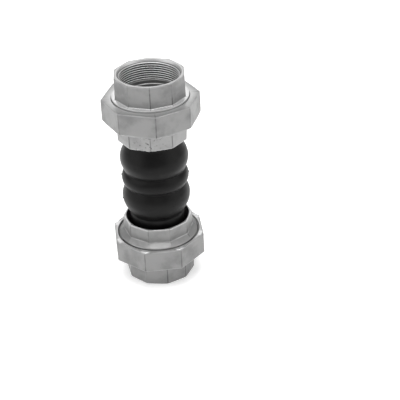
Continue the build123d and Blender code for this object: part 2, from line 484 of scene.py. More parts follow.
class Finishes:
    """Every material of the joint, by the record's slot name."""

    def __init__(self) -> None:
        """Build them all."""
        groups = Groups()
        made = [
            CastFinish(),
            RubberFinish(),
            RubberFinish(name="liner_rubber", roughness=0.5),
            CordFinish(),
            WireFinish(),
        ]
        self.by_slot = {finish.name: finish.material(groups) for finish in made}

    def dress(self, piece: bpy.types.Object, slot: str) -> None:
        """Give a piece the material of a slot."""
        piece.data.materials.clear()
        piece.data.materials.append(self.by_slot[slot])


# ---------------------------------------------------------------------------------------------
# Castings: flat-sided and round surfaces drawn as one section carried round the axis
# ---------------------------------------------------------------------------------------------


@dataclass(frozen=True)
class Station:
    """One corner of a casting's section.

    Attributes:
        depth: Distance from the end face.
        flat: Distance from the axis to the flat sides, or 0 where there are none.
        turned: Radius of the round surface, or 0 where there is none.
        limit: Radius that cuts the corners between the sides off.
        fillet: Size of the rounding at this corner of the section.
        machined: 1 where the surface is machined bright, 0 where it is as cast.
        polish_and_highlight: How bright the cut is where the corners between the sides are cut off: a turned
            chamfer with a painted highlight on it.
    """

    depth: float
    flat: float = 0.0
    turned: float = 0.0
    limit: float = 1000.0
    fillet: float = 0.3
    machined: float = 0.0
    polish_and_highlight: float = 0.0

    def cut_shine(self, sides: int, offset: float, rounding: float) -> float:
        """How bright this station is where its corner is cut off, painted highlight included."""
        if not self.polish_and_highlight:
            return 0.0
        cut = sided_radius(sides, self.flat, offset, rounding) - self.limit
        return self.polish_and_highlight * max(0.0, min(cut / 0.6, 1.0))

    def radius(self, sides: int, offset: float, rounding: float) -> float:
        """Distance from the axis at an angle from the middle of a side."""
        if not self.flat:
            return self.turned
        radius = sided_radius(sides, self.flat, offset, rounding)
        if self.turned:
            radius = soft_max(radius, self.turned, 0.8)
        return soft_min(radius, self.limit, 0.5)


@dataclass
class Ring:
    """One ring of points, as a weighted mean of stations."""

    weights: list[tuple[int, float]]
    # Strength of the painted highlight on this ring, highest in the middle of a fillet.
    rim: float


@dataclass
class Casting:
    """A closed casting with a section of stations, turned about the axis.

    Attributes:
        name: The piece's name.
        stations: Corners of the closed section, in order.
        sides: Number of flat sides.
        turn: Angle of one corner between the sides.
        rounding: Radius of the corners between the sides.
        step: Longest distance between rings.
        unevenness: How far the cast skin wanders.
    """

    name: str
    stations: list[Station]
    sides: int
    turn: float
    rounding: float = 0.45
    step: float = 1.1
    unevenness: float = 0.16
    fillet_rings: int = 4
    crease_width: float = 0.42
    pitted: tuple[float, float] | None = None

    def rings(self) -> list[Ring]:
        """Rings along the section: a few round each corner, and enough between them."""
        count = len(self.stations)
        lengths = [self._distance(i, (i + 1) % count) for i in range(count)]
        starts, ends = [], []
        for i, station in enumerate(self.stations):
            ends.append(min(station.fillet / lengths[i - 1], 0.45))
            starts.append(min(station.fillet / lengths[i], 0.45))
        rings: list[Ring] = []
        for i in range(count):
            before, after = (i - 1) % count, (i + 1) % count
            for k in range(self.fillet_rings + 1):
                u = k / self.fillet_rings
                back, ahead = (1 - u) ** 2 * ends[i], u**2 * starts[i]
                weights = [(before, back), (i, 1 - back - ahead), (after, ahead)]
                rings.append(Ring(weights, math.sin(math.pi * u)))
            open_length = lengths[i] * (1 - starts[i] - ends[after])
            between = int(open_length / self.step)
            for k in range(1, between + 1):
                t = starts[i] + (1 - starts[i] - ends[after]) * k / (between + 1)
                rings.append(Ring([(i, 1 - t), (after, t)], 0.0))
        return rings

    def _distance(self, first: int, second: int) -> float:
        """Length of the section between two stations, at the middle of a side."""
        a, b = self.stations[first], self.stations[second]
        return math.hypot(
            a.radius(self.sides, 0.0, self.rounding) - b.radius(self.sides, 0.0, self.rounding),
            a.depth - b.depth,
        )

    def columns(self) -> list[tuple[float, float]]:
        """Angle of each column and its offset from the middle of its side, closest at corners."""
        half = MESH_COLUMNS // self.sides // 2
        half_side = math.pi / self.sides
        offsets = [half_side * (1 - (1 - k / half) ** 2.2) for k in range(half + 1)]
        spread = [-offset for offset in reversed(offsets[1:])] + offsets[:-1]
        return [
            (half_side * (2 * side + 1) + offset + self.turn, offset)
            for side in range(self.sides)
            for offset in spread
        ]

    def build(self, end: End, length: float) -> bpy.types.Object:
        """Make the mesh.

        Args:
            end: The end it belongs to.
            length: Length of the whole joint.

        Returns:
            The finished piece, with its rim (painted highlight), crease (painted shade) and machined values
            stored on its points.
        """
        rings, columns = self.rings(), self.columns()
        points, rim, crease, machined = [], [], [], []
        for ring in rings:
            depth = sum(weight * self.stations[i].depth for i, weight in ring.weights)
            bright = sum(weight * self.stations[i].machined for i, weight in ring.weights)
            share = sum(weight for i, weight in ring.weights if self.stations[i].flat)
            for angle, offset in columns:
                radius = sum(
                    weight * self.stations[i].radius(self.sides, offset, self.rounding)
                    for i, weight in ring.weights
                )
                points.append(on_axis(radius, angle, end.height(depth, length)))
                # crease: painted dark reflection line along each corner between the flat sides, faded out on
                # the painted rim highlight.
                from_corner = (math.pi / self.sides - abs(offset)) * radius
                crease.append(share * math.exp(-((from_corner / self.crease_width) ** 2)) * (1 - ring.rim))
                rim.append(ring.rim)
                # Brightness of cut-off corners: a turned chamfer with a painted highlight.
                shine = sum(
                    weight * self.stations[i].cut_shine(self.sides, offset, self.rounding)
                    for i, weight in ring.weights
                )
                machined.append(min(bright + shine, 1.0))
        mesh = bpy.data.meshes.new(self.name)
        mesh.from_pydata(points, [], ring_faces(len(rings), len(columns)))
        outward_normals(mesh)
        pits = self._roughen(mesh, machined, length * MM)
        mesh.polygons.foreach_set("use_smooth", [True] * len(mesh.polygons))
        for key, values in (("rim", rim), ("crease", crease), ("machined", machined), ("pits", pits)):
            set_attribute(mesh, key, values)
        return new_object(self.name, mesh)

    def _roughen(self, mesh: bpy.types.Mesh, machined: list[float], top: float) -> list[float]:
        """Let the cast skin wander in and out, and leave the machined faces true.

        Args:
            mesh: The casting's mesh.
            machined: How far each point is machined.
            top: Height of the joint's upper end face, which no point stands beyond.

        Returns:
            How heavily each point's skin is pitted.
        """
        pits = []
        normals = [vertex.normal.copy() for vertex in mesh.vertices]
        seed = Vector((sum(map(ord, self.name)) * 0.37, 0.0, 0.0))
        for vertex, normal, bright in zip(mesh.vertices, normals, machined):
            place = vertex.co / MM
            wander = noise.noise(place * 0.07 + seed) + 0.35 * noise.noise(place * 0.35 + seed)
            height = self.unevenness * wander * (1 - bright)
            pits.append(self._pitting(place) if self.pitted else 0.0)
            height -= pits[-1] * max(noise.noise(place * 0.42 + seed), 0.0)
            vertex.co += normal * height * MM
            vertex.co.z = min(max(vertex.co.z, 0.0), top)
        return pits

    def _pitting(self, place: Vector) -> float:
        """How heavily the skin is pitted at a place."""
        azimuth, spread = self.pitted
        away = math.atan2(place.y, place.x) - azimuth
        away = (away + math.pi) % (2 * math.pi) - math.pi
        return math.exp(-((away / spread) ** 2))


# ---------------------------------------------------------------------------------------------
# Geometry node trees
# ---------------------------------------------------------------------------------------------


class GeometryTool:
    """A geometry node tree with named inputs, applied to give one plain mesh."""

    def __init__(self, name: str, inputs: dict[str, float | int]) -> None:
        """Start the tree.

        Args:
            name: The tree's name.
            inputs: Names and defaults of its inputs; a whole number makes a whole-number input.
        """
        self.tree = bpy.data.node_groups.new(name, "GeometryNodeTree")
        self.tree.interface.new_socket("Geometry", in_out="INPUT", socket_type="NodeSocketGeometry")
        self.identifiers: dict[str, str] = {}
        for key, value in inputs.items():
            kind = "NodeSocketInt" if isinstance(value, int) else "NodeSocketFloat"
            socket = self.tree.interface.new_socket(key, in_out="INPUT", socket_type=kind)
            socket.default_value = value
            self.identifiers[key] = socket.identifier
        socket = self.tree.interface.new_socket(
            "Material", in_out="INPUT", socket_type="NodeSocketMaterial"
        )
        self.identifiers["Material"] = socket.identifier
        self.tree.interface.new_socket("Geometry", in_out="OUTPUT", socket_type="NodeSocketGeometry")
        self.nodes = Nodes(self.tree)
        self.source = self.nodes.add("NodeGroupInput")
        self.result = self.nodes.add("NodeGroupOutput")

    def value(self, name: str) -> bpy.types.NodeSocket:
        """Socket of a named input."""
        return self.source.outputs[name]

    def close(self, geometry: bpy.types.NodeSocket) -> None:
        """End the tree with real geometry in its material."""
        real = self.nodes.add("GeometryNodeRealizeInstances")
        dress = self.nodes.add("GeometryNodeSetMaterial")
        self.nodes.join(geometry, real.inputs["Geometry"])
        self.nodes.join(real.outputs["Geometry"], dress.inputs["Geometry"])
        self.nodes.join(self.value("Material"), dress.inputs["Material"])
        self.nodes.join(dress.outputs["Geometry"], self.result.inputs["Geometry"])

    def apply(
        self,
        name: str,
        values: dict[str, float | int],
        material: bpy.types.Material,
        base: bpy.types.Mesh | None = None,
    ) -> bpy.types.Object:
        """Run the tree once and keep the result as a plain mesh.

        Args:
            name: Name of the piece.
            values: Values of the tree's inputs.
            material: The material it sets.
            base: Mesh that the tree starts from, if it needs one.

        Returns:
            A piece with a plain mesh and no modifier.
        """
        holder = new_object(name + "_tool", base or bpy.data.meshes.new(name + "_base"))
        modifier = holder.modifiers.new("tool", "NODES")
        modifier.node_group = self.tree
        for key, value in values.items():
            modifier[self.identifiers[key]] = value
        modifier[self.identifiers["Material"]] = material
        graph = bpy.context.evaluated_depsgraph_get()
        mesh = bpy.data.meshes.new_from_object(holder.evaluated_get(graph))
        mesh.name = name
        outward_normals(mesh)
        holder.modifiers.remove(modifier)
        bpy.data.objects.remove(holder)
        return new_object(name, mesh)


class ThreadTool(GeometryTool):
    """A right-handed thread ridge: a four-sided section swept along a helix."""

    def __init__(self) -> None:
        """Build the tree."""
        super().__init__(
            "thread_ridge",
            {
                "Turns": 8.0,
                "Pitch": 0.0025,
                "Radius": 0.03,
                "Ridge": -0.0015,
                "Foot": 0.0011,
                "Crest": 0.0002,
                "Low": 0.0,
                "Start Angle": 0.0,
            },
        )
        add, join, math_node = self.nodes.add, self.nodes.join, self.nodes.math
        helix = add("GeometryNodeCurveSpiral", Resolution=112, Reverse=True)
        join(self.value("Turns"), helix.inputs["Rotations"])
        join(self.value("Radius"), helix.inputs["Start Radius"])
        join(self.value("Radius"), helix.inputs["End Radius"])
        join(math_node("MULTIPLY", self.value("Turns"), self.value("Pitch")), helix.inputs["Height"])
        upright = add("GeometryNodeSetCurveNormal", mode="Z_UP")
        join(helix.outputs["Curve"], upright.inputs["Curve"])
        section = self._section()
        sweep = add("GeometryNodeCurveToMesh", Fill_Caps=True)
        join(upright.outputs["Curve"], sweep.inputs["Curve"])
        join(section, sweep.inputs["Profile Curve"])
        ridge = self._store_shine(sweep.outputs["Mesh"])
        move = add("GeometryNodeTransform")
        shift = add("ShaderNodeCombineXYZ")
        join(self.value("Low"), shift.inputs["Z"])
        spin = add("ShaderNodeCombineXYZ")
        join(self.value("Start Angle"), spin.inputs["Z"])
        join(ridge, move.inputs["Geometry"])
        join(shift.outputs["Vector"], move.inputs["Translation"])
        join(spin.outputs["Vector"], move.inputs["Rotation"])
        self.close(move.outputs["Geometry"])

    def _store_shine(self, mesh: bpy.types.NodeSocket) -> bpy.types.NodeSocket:
        """Store a painted highlight on the crests and painted shade at the roots of the ridge, by distance
        from the root.
        """
        nodes, sums = self.nodes, self.nodes.math
        split = nodes.add("ShaderNodeSeparateXYZ")
        nodes.join(nodes.add("GeometryNodeInputPosition").outputs["Position"], split.inputs["Vector"])
        squares = sums("ADD", sums("POWER", split.outputs["X"], 2.0), sums("POWER", split.outputs["Y"], 2.0))
        out = sums("ABSOLUTE", sums("SUBTRACT", sums("SQRT", squares), self.value("Radius")))
        crest = sums("MINIMUM", sums("DIVIDE", out, sums("ABSOLUTE", self.value("Ridge"))), 1.0)
        shade = sums("MINIMUM", sums("MULTIPLY", sums("SUBTRACT", 1.0, crest), 2.2), 1.0)
        # The crest value is a painted highlight, stored with the machined values; shade is painted shade at
        # the roots.
        for name, value in (("machined", crest), ("root", shade)):
            store = nodes.add("GeometryNodeStoreNamedAttribute", data_type="FLOAT", domain="POINT")
            store.inputs["Name"].default_value = name
            nodes.join(mesh, store.inputs["Geometry"])
            nodes.join(value, store.inputs["Value"])
            mesh = store.outputs["Geometry"]
        return mesh

    def _section(self) -> bpy.types.NodeSocket:
        """The ridge's four-sided section: a wide foot and a narrow crest."""
        section = self.nodes.add("GeometryNodeCurvePrimitiveQuadrilateral", mode="POINTS")
        zero = self.nodes.math("MULTIPLY", self.value("Foot"), 0.0)
        ridge = self.value("Ridge")
        corners = ((zero, "Foot", -1), (ridge, "Crest", -1), (ridge, "Crest", 1), (zero, "Foot", 1))
        for index, (out, half, sign) in enumerate(corners):
            corner = self.nodes.add("ShaderNodeCombineXYZ")
            self.nodes.join(out, corner.inputs["X"])
            self.nodes.join(self.nodes.math("MULTIPLY", self.value(half), sign), corner.inputs["Y"])
            self.nodes.join(corner.outputs["Vector"], section.inputs[f"Point {index + 1}"])
        return section.outputs["Curve"]


class HoopTool(GeometryTool):
    """A stranded wire hoop: strands that wind round one ring."""

    def __init__(self) -> None:
        """Build the tree."""
        super().__init__(
            "wire_hoop",
            {"Ring": 0.03, "Bundle": 0.0013, "Strand": 0.0007, "Strands": 6, "Winds": 18, "Height": 0.0},
        )
        add, join, math_node = self.nodes.add, self.nodes.join, self.nodes.math
        circle = add("GeometryNodeCurvePrimitiveCircle", Resolution=360, Radius=1.0)
        place = add("GeometryNodeInputPosition")
        split = add("ShaderNodeSeparateXYZ")
        join(place.outputs["Position"], split.inputs["Vector"])
        around = math_node("ARCTAN2", split.outputs["Y"], split.outputs["X"])
        wind = math_node("MULTIPLY", around, self.value("Winds"))
        out = math_node("MULTIPLY", math_node("COSINE", wind), self.value("Bundle"))
        radius = math_node("ADD", self.value("Ring"), out)
        up = math_node("MULTIPLY", math_node("SINE", wind), self.value("Bundle"))
        target = add("ShaderNodeCombineXYZ")
        join(math_node("MULTIPLY", radius, math_node("COSINE", around)), target.inputs["X"])
        join(math_node("MULTIPLY", radius, math_node("SINE", around)), target.inputs["Y"])
        join(math_node("ADD", up, self.value("Height")), target.inputs["Z"])
        shape = add("GeometryNodeSetPosition")
        join(circle.outputs["Curve"], shape.inputs["Geometry"])
        join(target.outputs["Vector"], shape.inputs["Position"])
        section = add("GeometryNodeCurvePrimitiveCircle", Resolution=8)
        join(self.value("Strand"), section.inputs["Radius"])
        strand = add("GeometryNodeCurveToMesh")
        join(shape.outputs["Geometry"], strand.inputs["Curve"])
        join(section.outputs["Curve"], strand.inputs["Profile Curve"])
        line = add("GeometryNodeMeshLine", Offset=(0.0, 0.0, 0.0))
        join(self.value("Strands"), line.inputs["Count"])
        index = add("GeometryNodeInputIndex")
        parts = math_node("MULTIPLY", self.value("Strands"), self.value("Winds"))
        share = math_node("DIVIDE", 2 * math.pi, parts)
        turn = add("ShaderNodeCombineXYZ")
        join(math_node("MULTIPLY", index.outputs["Index"], share), turn.inputs["Z"])
        copies = add("GeometryNodeInstanceOnPoints")
        join(line.outputs["Mesh"], copies.inputs["Points"])
        join(strand.outputs["Mesh"], copies.inputs["Instance"])
        join(turn.outputs["Vector"], copies.inputs["Rotation"])
        self.close(copies.outputs["Instances"])


class PipTool(GeometryTool):
    """Small rounded moulding pips, one on each point of a base mesh, along its normals."""

    def __init__(self) -> None:
        """Build the tree."""
        super().__init__("moulding_pips", {"Radius": 0.0006, "Height": 0.0009, "Seed": 3})
        add, join, math_node = self.nodes.add, self.nodes.join, self.nodes.math
        pip = add("GeometryNodeMeshCone", Vertices=12, Side_Segments=2, Fill_Segments=1)
        join(math_node("MULTIPLY", self.value("Radius"), 0.7), pip.inputs["Radius Top"])
        join(self.value("Radius"), pip.inputs["Radius Bottom"])
        join(self.value("Height"), pip.inputs["Depth"])
        normal = add("GeometryNodeInputNormal")
        aim = add("FunctionNodeAlignRotationToVector", axis="Z")
        join(normal.outputs["Normal"], aim.inputs["Vector"])
        size = add("FunctionNodeRandomValue", data_type="FLOAT", Min=0.7, Max=1.2)
        join(self.value("Seed"), size.inputs["Seed"])
        copies = add("GeometryNodeInstanceOnPoints")
        join(self.source.outputs["Geometry"], copies.inputs["Points"])
        join(pip.outputs["Mesh"], copies.inputs["Instance"])
        join(aim.outputs["Rotation"], copies.inputs["Rotation"])
        join(size.outputs["Value"], copies.inputs["Scale"])
        self.close(copies.outputs["Instances"])


# ---------------------------------------------------------------------------------------------
# Metal ends
# ---------------------------------------------------------------------------------------------


@dataclass(frozen=True)
class Ridge:
    """One length of a helical thread.

    Attributes:
        name: Its piece's name.
        start: Depth at which it starts.
        stop: Depth at which it stops.
        pitch: Distance between turns.
        radius: Radius of its foot.
        height: How far the crest stands out from the foot, negative for an internal thread.
        foot: Half the foot's width, as a share of the pitch.
        crest: Half the crest's width, as a share of the pitch.
    """

    name: str
    start: float
    stop: float
    pitch: float
    radius: float
    height: float
    foot: float = 0.46
    crest: float = 0.1


@dataclass
class MetalPiece:
    """A casting with a thread.

    Attributes:
        end: The end it belongs to.
        length: Length of the whole joint.
        turn: Angle of one of its corners.
    """

    end: End
    length: float
    turn: float

    def set_casting(self, casting: Casting, node: str, body: str, finishes: Finishes) -> None:
        """Make the casting and set it on its body."""
        piece = casting.build(self.end, self.length)
        finishes.dress(piece, "zinc_coated_iron")
        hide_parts(node)
        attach(piece, body)

    def set_thread(
        self, ridge: Ridge, node: str, body: str, finishes: Finishes, threads: ThreadTool
    ) -> None:
        """Make the thread and set it on its body."""
        low = ridge.start if self.end is End.LOWER else self.length - ridge.stop
        turns = (ridge.stop - ridge.start) / ridge.pitch
        piece = threads.apply(
            ridge.name,
            {
                "Turns": turns,
                "Pitch": ridge.pitch * MM,
                "Radius": ridge.radius * MM,
                "Ridge": ridge.height * MM,
                "Foot": ridge.pitch * ridge.foot * MM,
                "Crest": ridge.pitch * ridge.crest * MM,
                "Low": low * MM,
                "Start Angle": self.turn,
            },
            finishes.by_slot["zinc_coated_iron"],
        )
        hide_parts(node)
        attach(piece, body)
        LOG.info("%s: casting and %.1f turns of thread", node, turns)


@dataclass
class Tailpiece(MetalPiece):
    """Threaded end with a ten-sided nose, a machined shoulder and a flange."""

    sides: int = 10
    flat: float = 33.2
    mouth_radius: float = 30.9
    thread_root: float = 29.9
    thread_ridge: float = 1.57
    thread_pitch: float = 2.309
    thread_start: float = 1.9
    thread_turns: float = 7.8
    plain_bore: float = 28.35
    bore_end: float = 24.5
    waterway: float = 27.6
    shoulder: float = 37.2
    flange: float = 39.8
    nose_length: float = 24.0
    seat: float = 34.3

    def stations(self) -> list[Station]:
        """Section of the casting, from the mouth outwards and back down the bore."""
        thread_end = self.thread_start + self.thread_pitch * self.thread_turns
        corner = corner_radius(self.flat, self.sides)
        foot = self.nose_length - 2.6
        return [
            Station(0.0, turned=self.mouth_radius, fillet=0.25, machined=0.5),
            Station(0.0, flat=self.flat - 0.2, limit=corner - 0.7, fillet=0.3, machined=0.1),
            Station(0.9, flat=self.flat - 0.1, limit=corner + 0.1, fillet=0.3),
            Station(foot, flat=self.flat, fillet=0.35),
            Station(foot + 0.3, flat=self.flat + 0.4, fillet=0.15, machined=1.0),
            Station(foot + 0.9, turned=self.shoulder, fillet=0.25, machined=0.6),
            Station(self.nose_length + 0.5, turned=self.shoulder, fillet=0.3, machined=0.2),
            Station(self.nose_length + 5.3, turned=self.shoulder, fillet=0.3, machined=1.0),
            Station(self.nose_length + 5.3, turned=self.flange, fillet=0.4, machined=1.0),
            Station(self.seat, turned=self.flange, fillet=0.4, machined=1.0),
            Station(self.seat, turned=self.waterway, fillet=0.4, machined=1.0),
            Station(self.bore_end + 0.6, turned=self.waterway, fillet=0.4, machined=0.2),
            Station(self.bore_end, turned=self.plain_bore, fillet=0.3, machined=0.2),
            Station(thread_end + 1.0, turned=self.plain_bore, fillet=0.3, machined=0.3),
            Station(thread_end, turned=self.thread_root, fillet=0.3, machined=0.2),
            Station(self.thread_start + 0.3, turned=self.thread_root, fillet=0.3, machined=0.6),
        ]

    def build(self, finishes: Finishes, threads: ThreadTool) -> None:
        """Make the casting and its pipe thread, and set them on the end's body."""
        name, body = self.end.name("tailpiece"), self.end.name("end")
        casting = Casting(f"{name}_casting", self.stations(), self.sides, self.turn)
        self.set_casting(casting, name, body, finishes)
        ridge = Ridge(
            self.end.name("pipe_thread"),
            self.thread_start,
            self.thread_start + self.thread_pitch * self.thread_turns,
            self.thread_pitch,
            self.thread_root + THREAD_SINK,
            -(self.thread_ridge + THREAD_SINK),
            crest=0.12,
        )
        self.set_thread(ridge, name, body, finishes, threads)


@dataclass
class UnionNut(MetalPiece):
    """Eight-sided nut with a lip behind the tailpiece's flange and a threaded mouth."""

    sides: int = 8
    flat: float = 44.0
    hole: float = 37.6
    bore: float = 40.2
    thread_root: float = 41.5
    lip_depth: float = 24.0
    lip_thickness: float = 5.0
    mouth_depth: float = 46.5
    thread_pitch: float = 2.5

    def stations(self) -> list[Station]:
        """Section of the casting, from the lip outwards, along the side and back up the bore."""
        corner = corner_radius(self.flat, self.sides)
        lip, mouth = self.lip_depth, self.mouth_depth
        step = lip + self.lip_thickness
        return [
            Station(lip, turned=self.hole, fillet=0.3, machined=0.5),
            Station(lip, flat=self.flat - 0.1, limit=corner - 0.4, fillet=0.3, machined=0.05),
            Station(lip + 0.6, flat=self.flat, limit=corner + 0.2, fillet=0.3),
            Station(mouth - 1.1, flat=self.flat, limit=corner + 0.2, fillet=0.35),
            # Turned chamfer at the corners, drawn with a painted highlight.
            Station(mouth, flat=self.flat - 0.3, limit=corner - 2.2, machined=0.1, polish_and_highlight=0.75),
            Station(mouth, turned=self.thread_root + 0.2, fillet=0.3, machined=0.6),
            Station(mouth - 0.8, turned=self.thread_root, fillet=0.3, machined=0.6),
            Station(step + 2.0, turned=self.thread_root, fillet=0.3, machined=0.6),
            Station(step + 1.0, turned=self.bore, fillet=0.3, machined=0.8),
            Station(step, turned=self.bore, fillet=0.3, machined=0.8),
            Station(step, turned=self.hole, fillet=0.4, machined=0.8),
        ]

    def build(self, finishes: Finishes, threads: ThreadTool) -> None:
        """Make the casting and its internal thread, and set them on the nut's body."""
        name, body = self.end.name("union_nut"), self.end.name("nut")
        casting = Casting(
            f"{name}_casting", self.stations(), self.sides, self.turn, unevenness=0.22
        )
        self.set_casting(casting, name, body, finishes)
        ridge = Ridge(
            self.end.name("nut_thread"),
            self.lip_depth + self.lip_thickness + 2.6,
            self.mouth_depth - 1.4,
            self.thread_pitch,
            self.thread_root + THREAD_SINK,
            -(self.thread_root + THREAD_SINK - self.bore),
        )
        self.set_thread(ridge, name, body, finishes, threads)


@dataclass
class ClampCollar(MetalPiece):
    """Collar with a threaded barrel, a round shoulder and a ten-sided grip."""

    backed_off: float = 0.0
    pitted: tuple[float, float] | None = None
    sides: int = 10
    flat: float = 33.2
    hole: float = 29.8
    mouth: float = 31.6
    recess: float = 35.3
    thread_crest: float = 39.9
    thread_height: float = 1.35
    thread_pitch: float = 2.5
    barrel_depth: float = 34.9
    shoulder_depth: float = 46.5
    grip_depth: float = 50.5
    lip_depth: float = 64.7

    def stations(self) -> list[Station]:
        """Section of the casting, from the barrel's end outwards, over the grip and back inside."""
        off = self.backed_off
        root = self.thread_crest - self.thread_height
        corner = corner_radius(self.flat, self.sides)
        shoulder, grip = self.shoulder_depth + off, self.grip_depth + off
        lip, barrel = self.lip_depth + off, self.barrel_depth + off
        # The upper collar's grip is drawn a touch lighter than the lower one's: painted light.
        rubbed_and_painted_light = 0.1 if self.end is End.UPPER else 0.0
        return [
            Station(barrel, turned=self.recess, fillet=0.3, machined=0.7),
            Station(barrel, turned=root, fillet=0.4, machined=0.7),
            Station(shoulder - 2.0, turned=root, fillet=0.3, machined=0.5),
            Station(shoulder - 1.2, turned=self.thread_crest - 0.3, fillet=0.4, machined=0.4),
            Station(shoulder + 0.1, turned=self.thread_crest - 0.5, fillet=0.8, machined=0.1),
            Station(grip, flat=self.flat + 0.1, limit=corner + 0.2, fillet=0.8, machined=rubbed_and_painted_light),
            Station(lip - 1.0, flat=self.flat, limit=corner + 0.1, fillet=0.4, machined=rubbed_and_painted_light),
            Station(lip - 0.25, flat=self.flat - 0.2, limit=corner - 0.5, fillet=0.2, machined=0.6),
            Station(lip, flat=self.flat - 0.6, limit=corner - 0.9, fillet=0.2, machined=0.9),
            Station(lip, turned=self.mouth, fillet=0.3, machined=0.1),
            Station(grip, turned=self.hole, fillet=0.5),
            Station(shoulder - 0.1, turned=self.hole, fillet=0.5),
            Station(shoulder - 4.0, turned=self.recess, fillet=0.5, machined=0.4),
        ]

    def build(self, finishes: Finishes, threads: ThreadTool) -> None:
        """Make the casting and its external thread, and set them on the collar's body."""
        name, body = self.end.name("clamp_collar"), self.end.name("collar")
        casting = Casting(
            f"{name}_casting",
            self.stations(),
            self.sides,
            self.turn,
            unevenness=0.2,
            pitted=self.pitted,
        )
        self.set_casting(casting, name, body, finishes)
        ridge = Ridge(
            self.end.name("collar_thread"),
            self.barrel_depth + self.backed_off + 0.8,
            self.shoulder_depth + self.backed_off - 1.9,
            self.thread_pitch,
            self.thread_crest - self.thread_height - THREAD_SINK,
            self.thread_height + THREAD_SINK,
        )
        self.set_thread(ridge, name, body, finishes, threads)


# ---------------------------------------------------------------------------------------------
# Rubber body
# ---------------------------------------------------------------------------------------------


@dataclass(frozen=True)
class Swell:
    """A bulge of the rubber, as the arc through two feet and a crest."""

    low: float
    high: float
    foot_low: float
    foot_high: float
    crest: float

    def circle(self) -> tuple[float, float, float]:
        """Centre radius, centre height and arc radius of the arc."""
        middle = (self.low + self.high) / 2
        ax, ay, bx, by, cx, cy = self.foot_low, self.low, self.crest, middle, self.foot_high, self.high
        d = 2 * (ax * (by - cy) + bx * (cy - ay) + cx * (ay - by))
        a, b, c = ax * ax + ay * ay, bx * bx + by * by, cx * cx + cy * cy
        centre_r = (a * (by - cy) + b * (cy - ay) + c * (ay - by)) / d
        centre_z = (a * (cx - bx) + b * (ax - cx) + c * (bx - ax)) / d
        return centre_r, centre_z, math.hypot(ax - centre_r, ay - centre_z)

    def radius(self, height: float) -> float:
        """Radius at a height, or 0 beyond the arc."""
        centre_r, centre_z, arc = self.circle()
        inside = arc * arc - (height - centre_z) ** 2
        return centre_r + math.sqrt(inside) if inside > 0 else 0.0


@dataclass(frozen=True)
class Stretch:
    """A length of the rubber between two bodies.

    Attributes:
        name: Its name.
        low: Height of its lower end.
        high: Height of its upper end.
        body_low: Body at its lower end.
        body_high: Body at its upper end.
        start: Height at which it starts to leave the lower body; not used.
        stop: Height at which it is wholly on the upper body; not used.
    """

    name: str
    low: float
    high: float
    body_low: str
    body_high: str
    start: float
    stop: float


